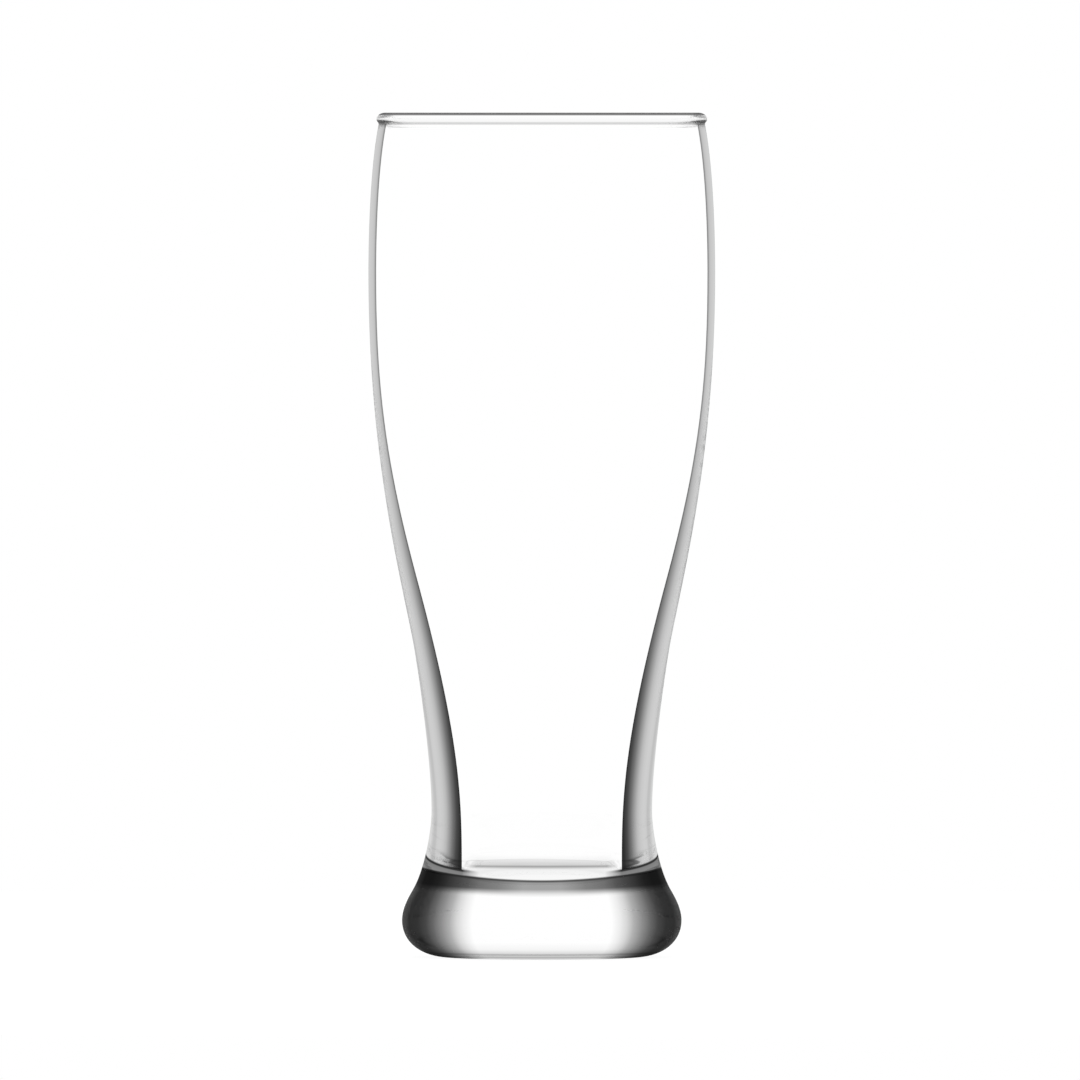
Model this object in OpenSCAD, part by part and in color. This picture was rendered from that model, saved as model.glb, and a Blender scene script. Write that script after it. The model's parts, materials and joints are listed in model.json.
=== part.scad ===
// Half-litre beer glass with a solid foot: a tall cup that swells to a belly under a rounded rim,
// narrows to a waist and flares out again into a heavy foot. It is one piece of clear glass, turned
// round the Z axis. Millimetres, +Z up, origin at the middle of the foot on the table.

/* [Overall] */
// Height from the table to the crest of the rim
height = 190; // [130:1:260]

/* [Rim] */
// Widest diameter of the rounded rim
rim_d = 74.4; // [56:0.2:110]
// Drop from the crest of the rim to its widest place
rim_shoulder_drop = 1.4; // [0.8:0.1:2.4]
// Distance from the widest place of the rim in to its crest
rim_shoulder_w = 2.0; // [1.2:0.1:3.4]
// Distance from the crest in to the lip of the rim inside the cup
rim_lip_w = 0.8; // [0.4:0.1:1.6]
// Drop from the crest of the rim to the neck below it
neck_drop = 2.8; // [2:0.1:5]
// How far the rim stands out beyond the neck
rim_overhang = 0.45; // [0.2:0.05:1]

/* [Cup] */
// Widest diameter of the cup
belly_d = 78; // [60:0.5:115]
// Drop from the crest of the rim to the widest place of the cup
belly_drop = 36.2; // [20:0.5:60]
// Narrowest diameter of the glass, above the foot
waist_d = 49.6; // [40:0.2:75]
// Height of the narrowest place above the table
waist_h = 33; // [24:0.2:48]
// Thickness of the wall at the belly and the neck
wall = 1.72; // [1.2:0.02:3]
// Thickness of the wall at the waist
waist_wall = 6.8; // [3:0.1:9]

/* [Foot] */
// Widest diameter of the foot
foot_d = 62.9; // [50:0.2:100]
// Height of the widest place of the foot above the table
foot_h = 8.3; // [5:0.1:13]
// Outer diameter of the flat ring that the glass stands on
ring_d = 41.6; // [30:0.2:50]
// Width of the flat ring
ring_w = 1.2; // [0.6:0.1:3]
// Height of the hollow under the foot
hollow_h = 1.4; // [0.4:0.1:3]
// Thickness of the solid glass from the hollow up to the middle of the cup's floor
floor_t = 11.9; // [6:0.1:24]
// How far the floor dips from its edge to its middle
floor_dish = 0.3; // [0.1:0.1:2]
// Radius of the rounded corner between the floor and the wall
floor_corner_r = 3.5; // [0.8:0.1:8]

/* [Hidden] */

// Straight steps along each curve of the outline, and round the glass
curve_steps = 14;
$fn = 180;

// Length of a curve's handle, as a share of its side, that makes a quarter turn round
round_share = 0.5523;

// Place and steepness of the middle of each slope: the share of the way up, the share of the
// way out, and the steepness as a multiple of the slope's own average
outer_slope_shares = [0.325, 0.31, 1.72];
inner_slope_shares = [0.499, 0.522, 1.92];
foot_slope_shares = [0.286, 0.384, 2.1];

// Lean of the wall where it meets the rim, as a share of the average lean of the shoulder
neck_lean_share = 2.81;

// Lengths of the two handles of each long curve, as shares of its rise
outer_lower_shares = [0.28, 0.16];
outer_upper_shares = [0.22, 0.47];
outer_neck_shares = [0.14, 0.34];
inner_lower_shares = [0.25, 0.57];
inner_upper_shares = [0.38, 0.37];
inner_neck_shares = [0.26, 0.3];
foot_lower_shares = [0.41, 0.19];
foot_upper_shares = [0.25, 0.26];

// Lengths of the handles of the round under the foot, the hollow and the dished floor, as shares
// of their own width or height
nose_shares = [0.62, 0.57];
hollow_shares = [0.55, 0.3];
dish_shares = [0.4, 0.5];

// Radii of the outside
rim_r = rim_d / 2;
crest_r = rim_r - rim_shoulder_w;
neck_r = rim_r - rim_overhang;
belly_r = belly_d / 2;
waist_r = waist_d / 2;
foot_r = foot_d / 2;
ring_r = ring_d / 2;

// Heights above the table
belly_z = height - belly_drop;
neck_z = height - neck_drop;
rim_z = height - rim_shoulder_drop;
floor_z = hollow_h + floor_t;
dish_z = floor_z + floor_dish;
cup_z = dish_z + floor_corner_r;

// Radius of the cup above its floor, of the dished floor, and of the lip
cup_r = waist_r - waist_wall;
dish_r = cup_r - floor_corner_r;
lip_r = crest_r - rim_lip_w;

// The stations of the outline, each a radius and a height
crest = [crest_r, height];
rim_side = [rim_r, rim_z];
neck = [neck_r, neck_z];
belly = [belly_r, belly_z];
waist = [waist_r, waist_h];
foot_side = [foot_r, foot_h];
ring_outside = [ring_r, 0];
ring_inside = [ring_r - ring_w, 0];
hollow_top = [0, hollow_h];
lip = [lip_r, rim_z];
inner_neck = [neck_r - wall, neck_z];
inner_belly = [belly_r - wall, belly_z];
inner_waist = [cup_r, cup_z];
dish_edge = [dish_r, dish_z];
floor_middle = [0, floor_z];

// Average lean between two stations: the radius gained for each millimetre of height
function average_lean(a, b) = (b.x - a.x) / (b.y - a.y);

// Station part way along a slope, at shares of its rise and of its widening
function part_way(a, b, shares) = [
    a.x + (b.x - a.x) * shares[1],
    a.y + (b.y - a.y) * shares[0]
];

// Point at share t of a curve with ends a and d and handles b and c
function along(a, b, c, d, t) =
    pow(1 - t, 3) * a + 3 * pow(1 - t, 2) * t * b + 3 * (1 - t) * pow(t, 2) * c + pow(t, 3) * d;

// Points of that curve without its last one, which starts the next curve
function curve(a, b, c, d) =
    [for (i = [0 : curve_steps - 1]) along(a, b, c, d, i / curve_steps)];

// Long curve between stations a and b, with the lean at each end and the shares of its handles
function slope(a, b, leans, shares) =
    let (rise = b.y - a.y)
    curve(
        a,
        a + rise * shares[0] * [leans[0], 1],
        b - rise * shares[1] * [leans[1], 1],
        b
    );

// Curve from a to b that lies level at both ends, with its handles as shares of its width
function level(a, b, shares) =
    curve(a, a + [(b.x - a.x) * shares[0], 0], b + [(a.x - b.x) * shares[1], 0], b);

// Quarter turn from a to b round the corner k
function turn(a, k, b, shares = [round_share, round_share]) =
    curve(a, a + (k - a) * shares[0], b + (k - b) * shares[1], b);

// Middles and leans of the three slopes
outer_mid = part_way(waist, belly, outer_slope_shares);
outer_lean = average_lean(waist, belly) * outer_slope_shares[2];
inner_mid = part_way(inner_waist, inner_belly, inner_slope_shares);
inner_lean = average_lean(inner_waist, inner_belly) * inner_slope_shares[2];
foot_mid = part_way(foot_side, waist, foot_slope_shares);
foot_lean = average_lean(foot_side, waist) * foot_slope_shares[2];
neck_lean = average_lean(belly, neck) * neck_lean_share;

// Underside: the hollow, the flat ring and the round up to the side of the foot
underside = concat(
    level(hollow_top, ring_inside, hollow_shares),
    [ring_inside],
    turn(ring_outside, [foot_side.x, ring_outside.y], foot_side, nose_shares)
);

// Outside, from the side of the foot up to the crest of the rim
outside = concat(
    slope(foot_side, foot_mid, [0, foot_lean], foot_lower_shares),
    slope(foot_mid, waist, [foot_lean, 0], foot_upper_shares),
    slope(waist, outer_mid, [0, outer_lean], outer_lower_shares),
    slope(outer_mid, belly, [outer_lean, 0], outer_upper_shares),
    slope(belly, neck, [0, neck_lean], outer_neck_shares),
    slope(neck, rim_side, [neck_lean, 0], [round_share, round_share]),
    turn(rim_side, [rim_side.x, crest.y], crest)
);

// Inside of the cup, from the crest of the rim down to the middle of the floor
inside = concat(
    turn(crest, [lip.x, crest.y], lip),
    slope(lip, inner_neck, [0, neck_lean], [round_share, round_share]),
    slope(inner_neck, inner_belly, [neck_lean, 0], [inner_neck_shares[1], inner_neck_shares[0]]),
    slope(inner_belly, inner_mid, [0, inner_lean], [inner_upper_shares[1], inner_upper_shares[0]]),
    slope(inner_mid, inner_waist, [inner_lean, 0], [inner_lower_shares[1], inner_lower_shares[0]]),
    turn(inner_waist, [inner_waist.x, dish_edge.y], dish_edge),
    level(dish_edge, floor_middle, dish_shares),
    [floor_middle]
);

module glass_body() {
    color([0.88, 0.92, 0.93, 0.5])
        rotate_extrude()
            polygon(concat(underside, outside, inside));
}

glass_body();
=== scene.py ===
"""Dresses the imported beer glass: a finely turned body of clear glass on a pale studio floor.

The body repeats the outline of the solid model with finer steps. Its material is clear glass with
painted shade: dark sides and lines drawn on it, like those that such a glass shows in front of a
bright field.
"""

import json
import logging
import math
from dataclasses import dataclass
from enum import Enum
from typing import Sequence, Union

import bpy
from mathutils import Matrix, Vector

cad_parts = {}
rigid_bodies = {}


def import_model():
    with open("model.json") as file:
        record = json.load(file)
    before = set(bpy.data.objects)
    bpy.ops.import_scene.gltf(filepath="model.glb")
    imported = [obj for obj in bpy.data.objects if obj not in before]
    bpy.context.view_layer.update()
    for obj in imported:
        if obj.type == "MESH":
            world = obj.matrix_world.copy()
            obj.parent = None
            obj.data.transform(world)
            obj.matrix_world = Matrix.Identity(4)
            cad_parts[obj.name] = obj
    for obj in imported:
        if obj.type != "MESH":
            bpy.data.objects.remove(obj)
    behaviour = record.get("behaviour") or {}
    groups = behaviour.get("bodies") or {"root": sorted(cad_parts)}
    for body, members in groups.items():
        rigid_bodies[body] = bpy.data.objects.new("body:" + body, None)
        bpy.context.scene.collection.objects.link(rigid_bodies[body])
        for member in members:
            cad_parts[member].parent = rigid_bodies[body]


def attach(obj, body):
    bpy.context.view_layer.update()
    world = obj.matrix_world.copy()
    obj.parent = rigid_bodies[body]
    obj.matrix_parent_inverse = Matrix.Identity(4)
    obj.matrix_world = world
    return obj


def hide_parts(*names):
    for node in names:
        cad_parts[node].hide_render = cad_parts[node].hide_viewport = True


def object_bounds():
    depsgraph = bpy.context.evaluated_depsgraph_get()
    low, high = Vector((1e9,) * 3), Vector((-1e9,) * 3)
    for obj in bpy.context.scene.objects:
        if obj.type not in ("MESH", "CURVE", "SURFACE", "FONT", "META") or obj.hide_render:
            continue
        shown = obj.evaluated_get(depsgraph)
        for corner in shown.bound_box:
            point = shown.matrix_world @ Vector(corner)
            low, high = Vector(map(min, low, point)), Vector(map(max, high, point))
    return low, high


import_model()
CAD_LOW, CAD_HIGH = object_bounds()

LOG = logging.getLogger("beer_glass")

# A millimetre in metres
MM = 0.001

# The mesh attribute that compares the inside of the cup with the outside of the glass
WALL_SHARE = "wall_share"

# The curve between a level of grey as it is seen and the light that shows so
SEEN_OFFSET = 0.055
SEEN_POWER = 2.4

# The Blend at which Layer Weight's Facing is one minus the plain cosine
PLAIN_FACING = 0.5

# Where the wall share is above this, the surface is the outside of the glass
OUTSIDE_SHARE = 0.01

Socket = bpy.types.NodeSocket
Value = Union[Socket, float]
Pair = tuple[float, float]
Stops = tuple[Pair, ...]

# The photograph's frame and where the glass stands in it, in its own pixels
PHOTO_SIDE_PX = 1080.0
PHOTO_AXIS_PX = 541.8
PHOTO_CREST_PX = 112.7
PHOTO_TABLE_PX = 957.2


class Heading(Enum):
    """Ways that a rounded corner of the outline can set off from its first station."""

    UPRIGHT = "upright"
    LEVEL = "level"


@dataclass(frozen=True)
class Station:
    """A named place on the outline: its distance from the axis and its height above the table."""

    radius: float
    height: float

    def toward(self, other: "Station", across: float, up: float) -> "Station":
        """Finds a station part of the way to another one.

        Args:
            other: The other station.
            across: The share of the way across.
            up: The share of the way up.

        Returns:
            The station between them.
        """
        return Station(
            self.radius + (other.radius - self.radius) * across,
            self.height + (other.height - self.height) * up,
        )

    def lean_to(self, other: "Station") -> float:
        """Returns the radius gained for each unit of height on the way to another station."""
        return (other.radius - self.radius) / (other.height - self.height)


@dataclass(frozen=True)
class SlopeShape:
    """How the middle of a long slope lies, and how full its two curves are.

    The middle is at share up of the rise and share across of the widening, and it leans steep times
    the slope's average. The pulls are the handles' lengths, as shares of their curve's rise, of the
    lower curve and of the upper one.
    """

    up: float
    across: float
    steep: float
    lower_pulls: Pair
    upper_pulls: Pair


class Outline:
    """A chain of smooth curves beside the axis. Each of its points is a radius and a height."""

    # Length of a handle, as a share of its side, that makes a quarter turn round
    ROUND_PULL = 0.5523

    def __init__(self) -> None:
        """Starts an empty outline."""
        self.points: list[Pair] = []

    def curve(self, ends: Sequence[Station], handles: Sequence[Station], steps: int) -> None:
        """Adds a cubic curve without its last point, which starts the next one.

        Args:
            ends: The first and last station.
            handles: The two handles between them.
            steps: How many straight steps stand for the curve.
        """
        corners = (ends[0], handles[0], handles[1], ends[1])
        for index in range(steps):
            t = index / steps
            weights = ((1 - t) ** 3, 3 * (1 - t) ** 2 * t, 3 * (1 - t) * t**2, t**3)
            self.points.append(
                (
                    sum(w * c.radius for w, c in zip(weights, corners)),
                    sum(w * c.height for w, c in zip(weights, corners)),
                )
            )

    def slope(self, start: Station, end: Station, leans: Pair, pulls: Pair, steps: int) -> None:
        """Adds a curve that climbs or falls from one station to the next.

        Args:
            start: Where the curve starts.
            end: Where it ends.
            leans: The radius gained for each unit of height, at the start and at the end.
            pulls: The handles' lengths as shares of the rise.
            steps: How many straight steps stand for the curve.
        """
        rise = end.height - start.height
        first = Station(start.radius + rise * pulls[0] * leans[0], start.height + rise * pulls[0])
        second = Station(end.radius - rise * pulls[1] * leans[1], end.height - rise * pulls[1])
        self.curve((start, end), (first, second), steps)

    def level(self, start: Station, end: Station, pulls: Pair, steps: int) -> None:
        """Adds a curve that lies level at both of its ends.

        Args:
            start: Where the curve starts.
            end: Where it ends.
            pulls: The handles' lengths as shares of the width.
            steps: How many straight steps stand for the curve.
        """
        handles = (start.toward(end, pulls[0], 0.0), end.toward(start, pulls[1], 0.0))
        self.curve((start, end), handles, steps)

    def turn(
        self,
        start: Station,
        end: Station,
        heading: Heading,
        steps: int,
        pulls: Pair = (ROUND_PULL, ROUND_PULL),
    ) -> None:
        """Adds a quarter turn.

        Args:
            start: Where the turn starts.
            end: Where it ends.
            heading: Whether it sets off upright or level.
            steps: How many straight steps stand for the turn.
            pulls: The handles' lengths as shares of the two sides.
        """
        if heading is Heading.UPRIGHT:
            corner = Station(start.radius, end.height)
        else:
            corner = Station(end.radius, start.height)
        handles = (
            start.toward(corner, pulls[0], pulls[0]),
            end.toward(corner, pulls[1], pulls[1]),
        )
        self.curve((start, end), handles, steps)

    def station(self, place: Station) -> None:
        """Adds one station as it is."""
        self.points.append((place.radius, place.height))


@dataclass
class GlassBody:
    """The one piece of glass: rim, cup, waist and foot, with the sizes of the solid model."""

    height: float
    belly_d: float

    # The rim
    rim_d: float = 74.4 * MM
    rim_shoulder_drop: float = 1.4 * MM
    rim_shoulder_w: float = 2.0 * MM
    rim_lip_w: float = 0.8 * MM
    neck_drop: float = 2.8 * MM
    rim_overhang: float = 0.45 * MM

    # The cup, from the belly down to the waist
    belly_drop: float = 36.2 * MM
    waist_d: float = 49.6 * MM
    waist_h: float = 33.0 * MM
    wall: float = 1.72 * MM
    waist_wall: float = 6.8 * MM

    # The foot, with the flat ring and the hollow under it and the floor of the cup above
    foot_d: float = 62.9 * MM
    foot_h: float = 8.3 * MM
    ring_d: float = 41.6 * MM
    ring_w: float = 1.2 * MM
    hollow_h: float = 1.4 * MM
    floor_t: float = 11.9 * MM
    floor_dish: float = 0.3 * MM
    floor_corner_r: float = 3.5 * MM

    # Straight steps round the glass, along each long curve and along each short one
    around: int = 240
    long_steps: int = 28
    short_steps: int = 14

    # How the curves run between their stations
    outer_shape: SlopeShape = SlopeShape(0.325, 0.31, 1.72, (0.28, 0.16), (0.22, 0.47))
    inner_shape: SlopeShape = SlopeShape(0.499, 0.522, 1.92, (0.25, 0.57), (0.38, 0.37))
    foot_shape: SlopeShape = SlopeShape(0.286, 0.384, 2.1, (0.41, 0.19), (0.25, 0.26))
    neck_lean_share: float = 2.81
    outer_neck_pulls: Pair = (0.14, 0.34)
    inner_neck_pulls: Pair = (0.26, 0.3)
    nose_pulls: Pair = (0.62, 0.57)
    hollow_pulls: Pair = (0.55, 0.3)
    dish_pulls: Pair = (0.4, 0.5)

    @property
    def cup_z(self) -> float:
        """Height at which the wall of the cup starts above its rounded corner."""
        return self.hollow_h + self.floor_t + self.floor_dish + self.floor_corner_r

    def outline(self) -> list[Pair]:
        """Walks the outline from the top of the hollow, up the outside and down into the cup.

        Returns:
            The radius and height of each point, with the first and last on the axis.
        """
        rim_r = self.rim_d / 2
        crest_r = rim_r - self.rim_shoulder_w
        rim_z = self.height - self.rim_shoulder_drop
        floor_z = self.hollow_h + self.floor_t
        dish_z = floor_z + self.floor_dish
        crest = Station(crest_r, self.height)
        rim_side = Station(rim_r, rim_z)
        lip = Station(crest_r - self.rim_lip_w, rim_z)
        neck = Station(rim_r - self.rim_overhang, self.height - self.neck_drop)
        belly = Station(self.belly_d / 2, self.height - self.belly_drop)
        waist = Station(self.waist_d / 2, self.waist_h)
        foot_side = Station(self.foot_d / 2, self.foot_h)
        ring_out = Station(self.ring_d / 2, 0.0)
        ring_in = Station(self.ring_d / 2 - self.ring_w, 0.0)
        hollow_top = Station(0.0, self.hollow_h)
        cup_neck = Station(neck.radius - self.wall, neck.height)
        cup_belly = Station(belly.radius - self.wall, belly.height)
        cup_waist = Station(waist.radius - self.waist_wall, dish_z + self.floor_corner_r)
        dish_edge = Station(cup_waist.radius - self.floor_corner_r, dish_z)
        floor_middle = Station(0.0, floor_z)
        neck_lean = belly.lean_to(neck) * self.neck_lean_share

        line = Outline()
        line.level(hollow_top, ring_in, self.hollow_pulls, self.long_steps)
        line.station(ring_in)
        line.turn(ring_out, foot_side, Heading.LEVEL, self.long_steps, self.nose_pulls)
        self.add_slope(line, foot_side, waist, self.foot_shape)
        self.add_slope(line, waist, belly, self.outer_shape)
        line.slope(belly, neck, (0.0, neck_lean), self.outer_neck_pulls, self.long_steps)
        round_pulls = (Outline.ROUND_PULL, Outline.ROUND_PULL)
        line.slope(neck, rim_side, (neck_lean, 0.0), round_pulls, self.short_steps)
        line.turn(rim_side, crest, Heading.UPRIGHT, self.short_steps)
        line.turn(crest, lip, Heading.LEVEL, self.short_steps)
        line.slope(lip, cup_neck, (0.0, neck_lean), round_pulls, self.short_steps)
        down_pulls = (self.inner_neck_pulls[1], self.inner_neck_pulls[0])
        line.slope(cup_neck, cup_belly, (neck_lean, 0.0), down_pulls, self.long_steps)
        self.add_slope(line, cup_belly, cup_waist, self.inner_shape, falling=True)
        line.turn(cup_waist, dish_edge, Heading.UPRIGHT, self.long_steps)
        line.level(dish_edge, floor_middle, self.dish_pulls, self.long_steps)
        line.station(floor_middle)
        return line.points

    def add_slope(
        self, line: Outline, start: Station, end: Station, shape: SlopeShape, falling: bool = False
    ) -> None:
        """Adds the two curves of a long slope.

        Args:
            line: The outline that they go on.
            start: The station that the slope starts from.
            end: The station that it runs to.
            shape: How the slope's middle lies, given from its lower end up.
            falling: Whether the slope is walked from its top down.
        """
        low, high = (end, start) if falling else (start, end)
        middle = low.toward(high, shape.across, shape.up)
        lean = low.lean_to(high) * shape.steep
        runs = [
            (low, middle, (0.0, lean), shape.lower_pulls),
            (middle, high, (lean, 0.0), shape.upper_pulls),
        ]
        if falling:
            runs = [(b, a, leans[::-1], pulls[::-1]) for a, b, leans, pulls in reversed(runs)]
        for first, last, leans, pulls in runs:
            line.slope(first, last, leans, pulls, self.long_steps)

    def wall_shares(self, points: Sequence[Pair]) -> list[float]:
        """Compares the inside of the cup with the outside of the glass at each height.

        Args:
            points: The outline, from the hollow over the rim to the floor.

        Returns:
            For each point outside, the cup's radius as a share of the point's own, or one where
            the glass is solid. For each point inside the cup, nought.
        """
        crest = max(range(len(points)), key=lambda index: points[index][1])
        cup = [(height, radius) for radius, height in reversed(points[crest:])]
        shares = []
        for radius, height in points[:crest]:
            above = next((index for index, place in enumerate(cup) if place[0] > height), 0)
            if above == 0 or radius == 0.0:
                shares.append(1.0)
                continue
            (low, near), (high, far) = cup[above - 1], cup[above]
            cup_radius = near + (far - near) * (height - low) / (high - low)
            shares.append(min(cup_radius / radius, 1.0))
        return shares + [0.0] * (len(points) - crest)

    def build(self) -> bpy.types.Object:
        """Turns the outline round the axis into one closed, smooth mesh.

        Returns:
            The mesh object, which stands for the CAD node.
        """
        points = self.outline()
        shares = self.wall_shares(points)
        rings = points[1:-1]
        turns = [2 * math.pi * index / self.around for index in range(self.around)]
        circle = [(math.cos(angle), math.sin(angle)) for angle in turns]
        vertices = [(r * c, r * s, z) for r, z in rings for c, s in circle]
        low_pole, high_pole = len(vertices), len(vertices) + 1
        vertices += [(0.0, 0.0, points[0][1]), (0.0, 0.0, points[-1][1])]
        faces: list[tuple[int, ...]] = []
        for ring in range(len(rings) - 1):
            near, far = ring * self.around, (ring + 1) * self.around
            for index in range(self.around):
                after = (index + 1) % self.around
                faces.append((near + index, near + after, far + after, far + index))
        last = (len(rings) - 1) * self.around
        for index in range(self.around):
            after = (index + 1) % self.around
            faces.append((low_pole, after, index))
            faces.append((high_pole, last + index, last + after))
        mesh = bpy.data.meshes.new("clear_glass_body")
        mesh.from_pydata(vertices, [], faces)
        mesh.polygons.foreach_set("use_smooth", [True] * len(mesh.polygons))
        wall = mesh.attributes.new(WALL_SHARE, "FLOAT", "POINT")
        around_shares = [share for share in shares[1:-1] for _ in circle]
        wall.data.foreach_set("value", around_shares + [shares[0], shares[-1]])
        mesh.update()
        body = bpy.data.objects.new("clear_glass_body", mesh)
        bpy.context.scene.collection.objects.link(body)
        return body

    def dress(self, body: bpy.types.Object, material: bpy.types.Material) -> None:
        """Gives the mesh its glass and lets it stand for the CAD node.

        Args:
            body: The mesh object.
            material: The finished glass material.
        """
        body.data.materials.append(material)
        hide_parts("glass_body")
        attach(body, "root")


class Wiring:
    """Places and joins the nodes of one node tree."""

    def __init__(self, tree: bpy.types.NodeTree) -> None:
        """Empties a node tree and takes it on."""
        self.tree = tree
        tree.nodes.clear()

    def place(self, kind: str, **inputs: object) -> bpy.types.Node:
        """Adds a node.

        Args:
            kind: The node's type, without its first word.
            **inputs: What each named input is joined to, or the value that it keeps. An underscore
                in a name stands for a space.

        Returns:
            The new node.
        """
        node = self.tree.nodes.new("ShaderNode" + kind)
        for name, value in inputs.items():
            self.feed(node.inputs[name.replace("_", " ")], value)
        return node

    def feed(self, socket: Socket, value: object) -> None:
        """Joins a socket to another one, or gives it a value of its own.

        Args:
            socket: The input to set.
            value: An output to join it to, or a plain value.
        """
        if isinstance(value, bpy.types.NodeSocket):
            self.tree.links.new(value, socket)
        else:
            socket.default_value = value

    def math(self, operation: str, *values: Value) -> Socket:
        """Adds a calculation with one or two values.

        Args:
            operation: Blender's name for the calculation.
            *values: Outputs or plain numbers.

        Returns:
            The output that holds the result.
        """
        node = self.place("Math")
        node.operation = operation
        for socket, value in zip(node.inputs, values):
            self.feed(socket, value)
        return node.outputs["Value"]

    def vector(self, operation: str, *values: object) -> bpy.types.Node:
        """Adds a calculation with one or two vectors.

        Args:
            operation: Blender's name for the calculation.
            *values: Outputs or plain vectors.

        Returns:
            The node, which puts out a vector and a value.
        """
        node = self.place("VectorMath")
        node.operation = operation
        for socket, value in zip(node.inputs, values):
            self.feed(socket, value)
        return node

    def product(self, first: Value, second: Value, *others: Value) -> Socket:
        """Multiplies two values or more.

        Args:
            first: An output or a plain number.
            second: Another one.
            *others: More of them.

        Returns:
            The output that holds the product.
        """
        result = self.math("MULTIPLY", first, second)
        for value in others:
            result = self.math("MULTIPLY", result, value)
        return result

    def rest(self, value: Value) -> Socket:
        """Returns the output that holds what a value leaves of one."""
        return self.math("SUBTRACT", 1.0, value)

    def dim(self, level: Value, mask: Value) -> Socket:
        """Applies a level where a mask is one, and leaves white where it is nought.

        Args:
            level: The level to apply.
            mask: Where it applies.

        Returns:
            The output that holds the masked level.
        """
        return self.rest(self.product(self.rest(level), mask))

    def ramp(self, share: Value, stops: Sequence[Pair]) -> Socket:
        """Adds a grey ramp.

        Args:
            share: What the ramp reads, from nought to one.
            stops: The place and the level of each stop.

        Returns:
            The output that holds the ramp's level.
        """
        node = self.place("ValToRGB", Fac=share)
        elements = node.color_ramp.elements
        for index, (place, level) in enumerate(stops):
            element = elements[index] if index < len(elements) else elements.new(place)
            element.position = place
            element.color = (level, level, level, 1.0)
        return node.outputs["Color"]


def as_light(share: float) -> float:
    """Turns a share of white, as it is seen, into the share of light that shows so."""
    return ((share + SEEN_OFFSET) / (1 + SEEN_OFFSET)) ** SEEN_POWER


@dataclass(frozen=True)
class Mask:
    """Levels along a measure: each stop is a place on it and the level there."""

    stops: Stops

    def light(self, level: float) -> float:
        """Returns what the material works with for a level, which here is the level itself."""
        return level

    def wire(self, wiring: Wiring, measure: Value) -> Socket:
        """Adds the ramp that reads the measure.

        Args:
            wiring: The material's nodes.
            measure: What the stops' places are measured in.

        Returns:
            The output that holds the level. Beyond the stops it keeps the end's own level.
        """
        low, high = self.stops[0][0], self.stops[-1][0]
        share = wiring.math("DIVIDE", wiring.math("SUBTRACT", measure, low), high - low)
        stops = [((place - low) / (high - low), self.light(level)) for place, level in self.stops]
        return wiring.ramp(share, stops)


class Shade(Mask):
    """Levels that are shares of white as they are seen."""

    def light(self, level: float) -> float:
        """Returns the share of light that shows as a level."""
        return as_light(level)


class ColourShade(Mask):
    """Levels of painted shade in the base colour, of which one pass takes the square root."""

    def light(self, level: float) -> float:
        """Returns the colour that shows as a level after one pass."""
        return as_light(level) ** 2


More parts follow.
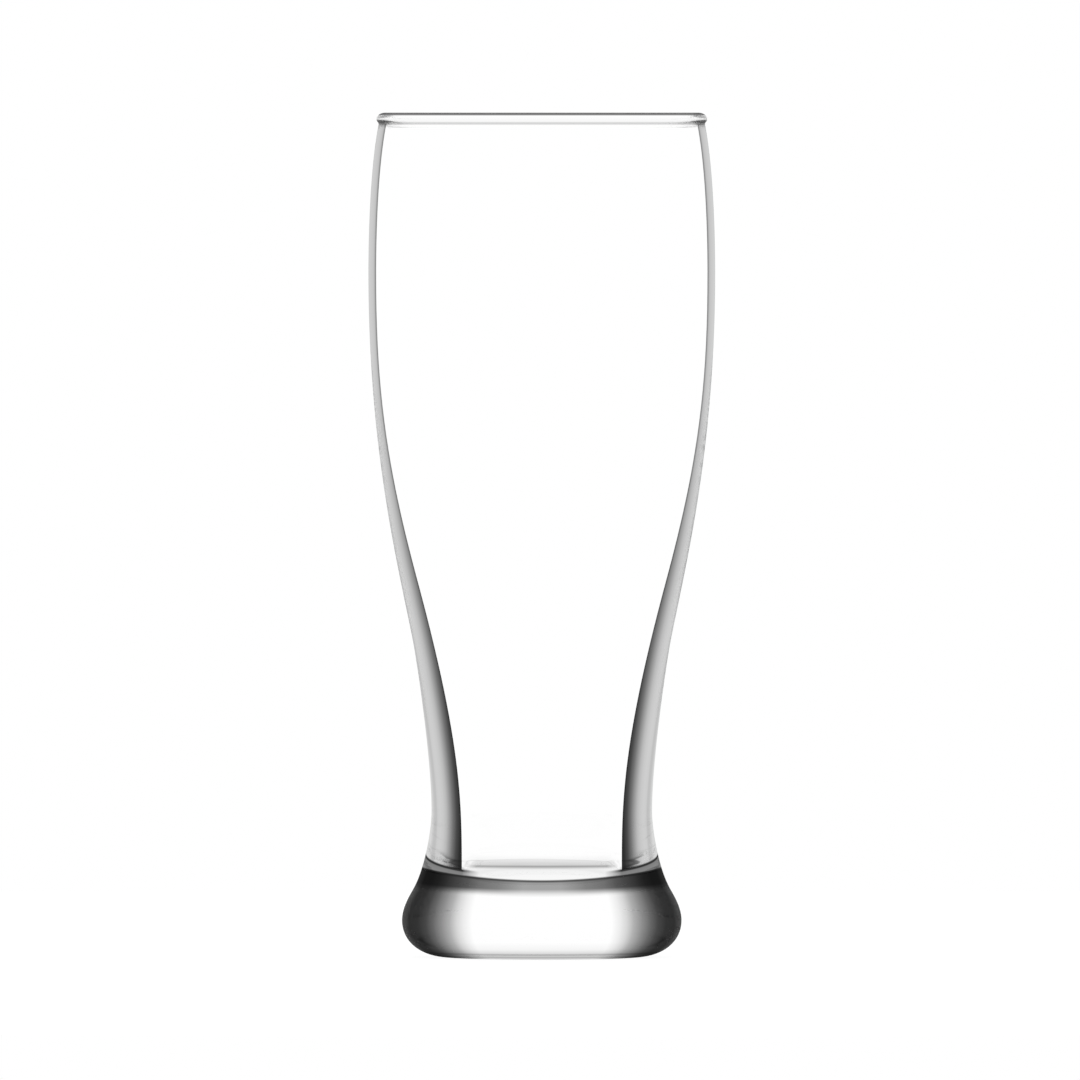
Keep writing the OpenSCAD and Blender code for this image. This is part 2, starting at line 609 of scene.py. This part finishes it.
@dataclass(frozen=True)
class SightLine:
    """What the material reads of a sight line, and of the place where it meets the glass.

    The sine is that of the level angle between the sight line and the way to the axis, so it is
    the line's distance from the axis as a share of the radius there. The rise is nought for a level
    sight line and one for an upright one. The cup's radius is given as a share of the outside's
    own, and is nought inside the cup. The radius, the height above the table and the drop below
    the crest of the rim are in millimetres.
    """

    sine: Socket
    rise: Socket
    cup: Socket
    radius: Socket
    height: Socket
    drop: Socket

    @classmethod
    def read(cls, wiring: Wiring, glass: GlassBody) -> "SightLine":
        """Adds the nodes that read the sight line.

        Args:
            wiring: The material's nodes.
            glass: The glass, whose height places the crest.

        Returns:
            The outputs that hold each measure.
        """
        split = wiring.place("SeparateXYZ", Vector=wiring.place("TexCoord").outputs["Object"])
        flat = wiring.place("CombineXYZ", X=split.outputs["X"], Y=split.outputs["Y"])
        radius = wiring.vector("LENGTH", flat.outputs["Vector"]).outputs["Value"]
        outward = wiring.vector("NORMALIZE", flat.outputs["Vector"]).outputs["Vector"]
        upright = wiring.place("CombineXYZ", Z=1.0).outputs["Vector"]
        inward = cls.run_along(wiring, outward)
        rise = cls.run_along(wiring, upright)
        level_square = wiring.rest(wiring.math("POWER", rise, 2.0))
        cosine_square = wiring.math("DIVIDE", wiring.math("POWER", inward, 2.0), level_square)
        cosine_square = wiring.math("MINIMUM", cosine_square, 1.0)
        height = wiring.math("DIVIDE", split.outputs["Z"], MM)
        share = wiring.place("Attribute")
        share.attribute_name = WALL_SHARE
        return cls(
            sine=wiring.math("SQRT", wiring.rest(cosine_square)),
            rise=rise,
            cup=share.outputs["Fac"],
            radius=wiring.math("DIVIDE", radius, MM),
            height=height,
            drop=wiring.math("SUBTRACT", glass.height / MM, height),
        )

    @staticmethod
    def run_along(wiring: Wiring, direction: Socket) -> Socket:
        """Reads how far a sight line runs along a direction of the object.

        Args:
            wiring: The material's nodes.
            direction: The direction, one long.

        Returns:
            The output that holds the share, without its sign.
        """
        turned = wiring.place("VectorTransform", Vector=direction)
        turned.vector_type = "NORMAL"
        turned.convert_from = "OBJECT"
        turned.convert_to = "WORLD"
        weight = wiring.place(
            "LayerWeight", Blend=PLAIN_FACING, Normal=turned.outputs["Vector"]
        )
        return wiring.rest(weight.outputs["Facing"])

    def lowered(self, wiring: Wiring, lift: float) -> Socket:
        """Reads the height along lines that rise steadily from the middle of the glass outward.

        Args:
            wiring: The material's nodes.
            lift: How much higher such a line runs at the sides than in the middle.

        Returns:
            The output that holds the height which the line has in the middle.
        """
        return wiring.math("SUBTRACT", self.height, wiring.product(self.sine, self.sine, lift))

    def bowed(self, wiring: Wiring, lift: float) -> Socket:
        """Reads the height along lines that rise little at first and steeply at the sides.

        Args:
            wiring: The material's nodes.
            lift: How much higher such a line runs at the sides than in the middle.

        Returns:
            The output that holds the height which the line has in the middle.
        """
        cosine = wiring.math("SQRT", wiring.rest(wiring.product(self.sine, self.sine)))
        return wiring.math("SUBTRACT", self.height, wiring.product(wiring.rest(cosine), lift))


@dataclass(frozen=True)
class ClearGlass:
    """Clear fire-polished soda-lime glass in front of a bright field.

    Thick glass bends what is seen through it, the more the nearer the sight line runs to an edge,
    and a line that is bent far looks past the bright field. The dark sides and lines on the outside
    are painted shade, laid by a black coat that only a first look sees, and placed by the bend of
    the lines that enter it and by heights on the glass. The cup's floor and the flare get painted
    shade in the base colour. A faint unevenness of the outside breaks the reflections above the
    foot, and the ring under the foot is scuffed.

    The end of a field's name says what its stops are placed along. Bends are in degrees, and below
    nought where a line is bent away from the axis. Heights above the table and drops below the
    crest are in millimetres. Sines and rises are those of the sight line, and gaps run on the scale
    of the sines from the edge of the cup. Slants run from nought, where a line meets the surface
    squarely, to one, where it grazes it. Radii are shares of the cup's own.
    """

    name: str = "clear_fire_polished_glass"
    refraction: float = 1.52

    # Painted shade on the wall beside the cup, and a thin painted dark line along the cup's edge.
    # Both start at wall_height, which is read along the streak's own lines, and end at wall_drop
    wall_bends: Shade = Shade((
        (-60.0, 0.18), (-52.0, 0.29), (-44.0, 0.45), (-36.0, 0.61), (-28.0, 0.73), (-20.0, 0.785),
        (-10.0, 0.81), (0.0, 0.8), (6.0, 0.75), (14.0, 0.76), (30.0, 0.85),
    ))
    painted_line_gaps: Shade = Shade(((0.0, 0.62), (0.012, 1.0)))
    wall_height: float = 19.0
    wall_drop: float = 2.6

    # The rim: painted dark lines along its crest and its neck, and painted dark ends of its bead
    rim_drops: Shade = Shade((
        (0.0, 0.42), (0.5, 0.52), (0.7, 1.0), (2.0, 0.97), (2.25, 0.84), (2.55, 0.84), (2.8, 1.0),
    ))
    bead_drops: Shade = Shade(((1.5, 1.0), (1.8, 0.5), (2.1, 0.5), (2.6, 0.8)))
    bead_sines: Mask = Mask(((0.92, 0.0), (0.96, 1.0)))

    # The solid foot: painted shade on its sides, where it ends, and painted dark lines along its
    # lower edge
    foot_sines: Shade = Shade((
        (0.5, 1.0), (0.56, 0.93), (0.61, 0.84), (0.66, 0.69), (0.72, 0.55), (0.78, 0.4),
        (0.83, 0.28), (0.89, 0.2), (0.95, 0.19), (1.0, 0.33),
    ))
    foot_heights: Mask = Mask(((17.5, 1.0), (18.1, 0.0)))
    base_heights: Shade = Shade((
        (0.0, 0.72), (0.2, 0.85), (0.5, 0.66), (0.8, 0.8), (1.2, 0.68), (1.5, 0.86), (2.4, 0.96),
        (4.0, 1.0),
    ))

    # Painted shade where the near edge of the cup's floor shows through: the band below it, which
    # is darker to the sides in its upper part, and the dark arc of the edge, where the band ends.
    # The arc rises more outward than the band
    band_lift: float = 1.0
    band_heights: Shade = Shade(((14.2, 1.0), (14.9, 0.9), (15.9, 0.64)))
    band_sines: Shade = Shade(((0.15, 1.0), (0.35, 0.8), (0.6, 0.62), (0.8, 0.75), (1.0, 1.0)))
    band_side_heights: Mask = Mask(((14.6, 0.0), (15.9, 1.0)))
    arc_lift: float = 2.4
    arc_heights: Shade = Shade(((17.3, 1.0), (17.75, 0.3), (18.1, 1.0)))
    band_end_heights: Mask = Mask(((17.6, 1.0), (18.1, 0.0)))

    # The painted dark streak on both sides that climbs steeply from the arc to the wall
    streak_lift: float = 4.4
    streak_heights: Shade = Shade(
        ((15.5, 0.6), (18.5, 0.5), (18.7, 0.2), (19.0, 0.2), (19.3, 1.0))
    )
    streak_sines: Mask = Mask(((0.52, 0.0), (0.66, 1.0)))

    # The painted dark line of the floor's far edge, in the collar above the foot
    collar_heights: Shade = Shade(
        ((20.4, 1.0), (21.0, 0.68), (21.4, 0.9), (22.6, 0.97), (23.6, 1.0))
    )
    collar_sines: Mask = Mask(((0.55, 1.0), (0.64, 0.0)))

    # How much of all this painted shade is left as the glass is seen more from above
    overhead_rises: Mask = Mask(((0.55, 1.0), (0.95, 0.65)))

    # Painted shade in the base colour: on light that leaves the flare at a slant, and on light from
    # the cup's floor, with a darker ring near its edge
    flare_shade_slants: ColourShade = ColourShade(((0.2, 1.0), (0.23, 0.5), (0.245, 0.1)))
    flare_heights: Mask = Mask(((14.0, 0.0), (17.0, 1.0), (20.0, 1.0), (22.0, 0.0)))
    floor_shade_radii: ColourShade = ColourShade(((0.0, 0.96), (0.8, 0.96), (0.9, 0.9), (1.0, 0.94)))

    # Unevenness of the outside: waves to the metre along each axis, depth and where it is felt
    ripple_scale: tuple[float, float, float] = (25.0, 25.0, 500.0)
    ripple_depth: float = 0.12
    ripple_heights: Mask = Mask(((16.0, 0.0), (18.0, 1.0), (21.0, 1.0), (24.0, 0.02)))

    # Scuffs on the ring: patches to the metre, the noise at which they show, and where they end
    scuff_scale: float = 900.0
    scuff_levels: Mask = Mask(((0.5, 0.0), (0.7, 0.35)))
    scuff_heights: Mask = Mask(((0.05, 1.0), (0.3, 0.0)))

    def material(self, glass: GlassBody) -> bpy.types.Material:
        """Builds the glass material.

        The painted shade of a first look from outside is a black coat that only takes light away.
        The cup's floor and slanting light get painted shade in the base colour.

        Args:
            glass: The glass, whose sizes place the shades.

        Returns:
            The new material.
        """
        material = bpy.data.materials.new(self.name)
        material.use_nodes = True
        wiring = Wiring(material.node_tree)
        sight = SightLine.read(wiring, glass)
        back = wiring.place("NewGeometry").outputs["Backfacing"]
        front = wiring.rest(back)
        looked_at = wiring.place("LightPath").outputs["Is Camera Ray"]
        outside = wiring.math("GREATER_THAN", sight.cup, OUTSIDE_SHARE)
        sides = wiring.product(self.wall_shade(wiring, sight), self.foot_shade(wiring, sight))
        shade = wiring.product(wiring.dim(sides, outside), self.rim_shade(wiring, sight))
        dark = wiring.product(wiring.rest(shade), self.overhead_rises.wire(wiring, sight.rise))
        # Base colour: painted shade on the cup's floor and on light that leaves the flare at a
        # slant
        colour = wiring.product(
            self.floor_painted_shade(wiring, sight, glass, front),
            self.flare_painted_shade(wiring, sight, back, outside),
        )
        # The black coat, seen by camera rays on front faces only, lays the painted shade of the
        # wall, foot and rim
        shader = wiring.place(
            "BsdfPrincipled",
            Base_Color=colour,
            Metallic=0.0,
            Roughness=self.scuffs(wiring, sight),
            IOR=self.refraction,
            Normal=self.ripples(wiring, sight),
            Transmission_Weight=1.0,
            Coat_Weight=wiring.product(dark, looked_at, front),
            Coat_IOR=1.0,
            Coat_Tint=(0.0, 0.0, 0.0, 1.0),
        )
        wiring.place("OutputMaterial", Surface=shader.outputs["BSDF"])
        return material

    def wall_shade(self, wiring: Wiring, sight: SightLine) -> Socket:
        """Paints shade on the outside where sight lines pass within the wall, beside the cup.

        Args:
            wiring: The material's nodes.
            sight: How the sight line meets the glass.

        Returns:
            The output that holds the share of light that is left.
        """
        entry = wiring.math("ARCSINE", sight.sine)
        within = wiring.math("ARCSINE", wiring.math("DIVIDE", sight.sine, self.refraction))
        toward = wiring.product(wiring.math("SUBTRACT", entry, within), 2.0)
        grazing = wiring.math("DIVIDE", sight.sine, wiring.product(sight.cup, self.refraction))
        grazing = wiring.math("ARCSINE", wiring.math("MINIMUM", grazing, 1.0))
        away = wiring.math("SUBTRACT", math.pi, wiring.product(grazing, 2.0))
        bend = wiring.math("DEGREES", wiring.math("SUBTRACT", toward, away))
        past = wiring.math("SUBTRACT", sight.sine, sight.cup)
        level = wiring.product(
            self.wall_bends.wire(wiring, bend), self.painted_line_gaps.wire(wiring, past)
        )
        streak_place = sight.bowed(wiring, self.streak_lift)
        beside = wiring.product(
            wiring.math("GREATER_THAN", past, 0.0),
            wiring.math("GREATER_THAN", streak_place, self.wall_height),
            wiring.math("GREATER_THAN", sight.drop, self.wall_drop),
        )
        return wiring.dim(level, beside)

    def foot_shade(self, wiring: Wiring, sight: SightLine) -> Socket:
        """Paints shade on the sides of the foot and paints dark lines where the floor above it
        shows through.

        Args:
            wiring: The material's nodes.
            sight: How the sight line meets the glass.

        Returns:
            The output that holds the share of light that is left.
        """
        arc_place = sight.lowered(wiring, self.arc_lift)
        band_place = sight.lowered(wiring, self.band_lift)
        streak_place = sight.bowed(wiring, self.streak_lift)
        side = self.foot_sines.wire(wiring, sight.sine)
        band = wiring.product(
            self.band_heights.wire(wiring, band_place),
            wiring.dim(
                self.band_sines.wire(wiring, sight.sine),
                self.band_side_heights.wire(wiring, band_place),
            ),
        )
        below_arc = self.band_end_heights.wire(wiring, arc_place)
        streak = self.streak_heights.wire(wiring, streak_place)
        above_arc = wiring.product(
            self.streak_sines.wire(wiring, sight.sine), wiring.rest(below_arc)
        )
        collar = self.collar_heights.wire(wiring, sight.height)
        return wiring.product(
            wiring.dim(side, self.foot_heights.wire(wiring, arc_place)),
            wiring.dim(band, below_arc),
            self.arc_heights.wire(wiring, arc_place),
            wiring.dim(streak, above_arc),
            wiring.dim(collar, self.collar_sines.wire(wiring, sight.sine)),
            self.base_heights.wire(wiring, sight.height),
        )

    def rim_shade(self, wiring: Wiring, sight: SightLine) -> Socket:
        """Paints dark lines along the crest and the neck of the rim, and dark ends of its bead.

        Args:
            wiring: The material's nodes.
            sight: How the sight line meets the glass.

        Returns:
            The output that holds the share of light that is left.
        """
        bead_end = wiring.product(
            self.bead_sines.wire(wiring, sight.sine),
            wiring.math("LESS_THAN", sight.drop, self.wall_drop),
        )
        bead = wiring.dim(self.bead_drops.wire(wiring, sight.drop), bead_end)
        return wiring.product(self.rim_drops.wire(wiring, sight.drop), bead)

    def floor_painted_shade(
        self, wiring: Wiring, sight: SightLine, glass: GlassBody, front: Socket
    ) -> Socket:
        """Paints shade, in the base colour, on light that comes up out of the floor of the cup.

        Args:
            wiring: The material's nodes.
            sight: How the sight line meets the glass.
            glass: The glass, whose sizes place the floor.
            front: One where the sight line meets the glass from the air.

        Returns:
            The output that holds the painted shade.
        """
        cup_radius = (glass.waist_d / 2 - glass.waist_wall) / MM
        across = wiring.math("DIVIDE", sight.radius, cup_radius)
        on_floor = wiring.product(
            front,
            wiring.math("LESS_THAN", sight.cup, OUTSIDE_SHARE),
            wiring.math("LESS_THAN", sight.height, glass.cup_z / MM),
        )
        return wiring.dim(self.floor_shade_radii.wire(wiring, across), on_floor)

    def flare_painted_shade(
        self, wiring: Wiring, sight: SightLine, back: Socket, outside: Socket
    ) -> Socket:
        """Paints shade, in the base colour, on light that leaves the flare of the foot at a slant.

        Args:
            wiring: The material's nodes.
            sight: How the sight line meets the glass.
            back: One where the sight line meets the air from the glass.
            outside: One on the outside of the glass.

        Returns:
            The output that holds the painted shade.
        """
        slant = wiring.place("LayerWeight", Blend=PLAIN_FACING).outputs["Facing"]
        flare = self.flare_heights.wire(wiring, sight.height)
        leaving = wiring.product(back, outside, flare)
        return wiring.dim(self.flare_shade_slants.wire(wiring, slant), leaving)

    def ripples(self, wiring: Wiring, sight: SightLine) -> Socket:
        """Makes the outside faintly uneven, most of all where the wall was drawn out of the foot.

        Args:
            wiring: The material's nodes.
            sight: How the sight line meets the glass.

        Returns:
            The output that holds the bent normal.
        """
        place = wiring.place("TexCoord").outputs["Object"]
        drawn = wiring.vector("MULTIPLY", place, self.ripple_scale).outputs["Vector"]
        noise = wiring.place("TexNoise", Vector=drawn, Scale=1.0, Detail=0.0).outputs["Fac"]
        height = wiring.product(noise, self.ripple_heights.wire(wiring, sight.height))
        bump = wiring.place("Bump", Strength=1.0, Distance=self.ripple_depth * MM, Height=height)
        return bump.outputs["Normal"]

    def scuffs(self, wiring: Wiring, sight: SightLine) -> Socket:
        """Roughens the flat ring that the glass stands on, in patches.

        Args:
            wiring: The material's nodes.
            sight: How the sight line meets the glass.

        Returns:
            The output that holds the roughness.
        """
        place = wiring.place("TexCoord").outputs["Object"]
        noise = wiring.place("TexNoise", Vector=place, Scale=self.scuff_scale, Detail=0.0)
        patches = self.scuff_levels.wire(wiring, noise.outputs["Fac"])
        return wiring.product(patches, self.scuff_heights.wire(wiring, sight.height))


@dataclass(frozen=True)
class PaleFloor:
    """The floor's finish, of which a first look sees little more than the shadow of the glass.

    The glow and the paint in full light come to white together, and only the paint can be shaded.
    """

    name: str = "pale_floor"
    glow: float = 0.9
    paint: float = 0.15

    def material(self) -> bpy.types.Material:
        """Builds the floor's material, which only a first look sees.

        Returns:
            The new material.
        """
        material = bpy.data.materials.new(self.name)
        material.use_nodes = True
        wiring = Wiring(material.node_tree)
        glow = wiring.place("Emission", Strength=self.glow)
        paint = wiring.place("BsdfDiffuse", Color=(self.paint,) * 3 + (1.0,))
        pale = wiring.place("AddShader")
        wiring.feed(pale.inputs[0], glow.outputs["Emission"])
        wiring.feed(pale.inputs[1], paint.outputs["BSDF"])
        clear = wiring.place("BsdfTransparent")
        mix = wiring.place("MixShader", Fac=wiring.place("LightPath").outputs["Is Camera Ray"])
        wiring.feed(mix.inputs[1], clear.outputs["BSDF"])
        wiring.feed(mix.inputs[2], pale.outputs["Shader"])
        wiring.place("OutputMaterial", Surface=mix.outputs["Shader"])
        return material


@dataclass
class Studio:
    """White light from all round, a pale floor, and the camera.

    The camera's distance and the floor's radius are in metres, and the camera's sensor is in
    millimetres. The camera sees as far as reach times its distance. Light is followed for
    sure_bounces in any case, and for bounces at most.
    """

    camera_distance: float = 7.0
    reach: float = 10.0
    sensor: float = 36.0
    floor_radius: float = 0.6
    floor_corners: int = 128
    floor_finish: PaleFloor = PaleFloor()
    bounces: int = 96
    sure_bounces: int = 48

    def camera(self, glass: GlassBody) -> None:
        """Sets the camera level with the rim, where the photograph was taken from.

        Args:
            glass: The glass, whose height gives the photograph's scale.
        """
        scale = glass.height / (PHOTO_TABLE_PX - PHOTO_CREST_PX)
        middle = PHOTO_SIDE_PX / 2
        aim = Vector(((middle - PHOTO_AXIS_PX) * scale, 0.0, (PHOTO_TABLE_PX - middle) * scale))
        place = Vector((aim.x, -self.camera_distance, glass.height))
        data = bpy.data.cameras.new("photo_camera")
        data.sensor_width = self.sensor
        data.lens = self.sensor * (aim - place).length / (PHOTO_SIDE_PX * scale)
        data.clip_end = self.reach * self.camera_distance
        camera = bpy.data.objects.new("photo_camera", data)
        camera.location = place
        camera.rotation_euler = (aim - place).to_track_quat("-Z", "Y").to_euler()
        bpy.context.scene.collection.objects.link(camera)
        bpy.context.scene.camera = camera
        LOG.info("camera: lens of %.0f mm", data.lens)

    def world(self) -> None:
        """Surrounds the glass with plain white light."""
        world = bpy.data.worlds.new("studio_world")
        bpy.context.scene.world = world
        world.use_nodes = True
        wiring = Wiring(world.node_tree)
        white = wiring.place("Background", Color=(1.0, 1.0, 1.0, 1.0), Strength=1.0)
        wiring.place("OutputWorld", Surface=white.outputs["Background"])
        LOG.info("world: plain white")

    def floor(self) -> None:
        """Lays the pale floor, which isn't part of the object."""
        bpy.ops.mesh.primitive_circle_add(
            vertices=self.floor_corners, radius=self.floor_radius, fill_type="NGON"
        )
        floor = bpy.context.object
        floor.name = "studio_floor"
        floor.data.materials.append(self.floor_finish.material())
        LOG.info("floor: %.1f m across", 2 * self.floor_radius)

    def light_paths(self) -> None:
        """Shows colours as they are written, and lets light pass the foot as often as it has to."""
        scene = bpy.context.scene
        scene.view_settings.view_transform = "Standard"
        scene.cycles.min_light_bounces = self.sure_bounces
        scene.cycles.max_bounces = self.bounces
        scene.cycles.transmission_bounces = self.bounces
        scene.cycles.glossy_bounces = self.bounces
        LOG.info("light: up to %d bounces", self.bounces)


def main() -> None:
    """Builds the glass and its studio in order."""
    logging.basicConfig(level=logging.INFO, format="%(message)s")
    glass = GlassBody(height=CAD_HIGH.z - CAD_LOW.z, belly_d=CAD_HIGH.x - CAD_LOW.x)
    body = glass.build()
    glass.dress(body, ClearGlass().material(glass))
    LOG.info("glass body: %d faces", len(body.data.polygons))
    studio = Studio()
    studio.camera(glass)
    studio.world()
    studio.floor()
    studio.light_paths()


if __name__ == "__main__":
    main()
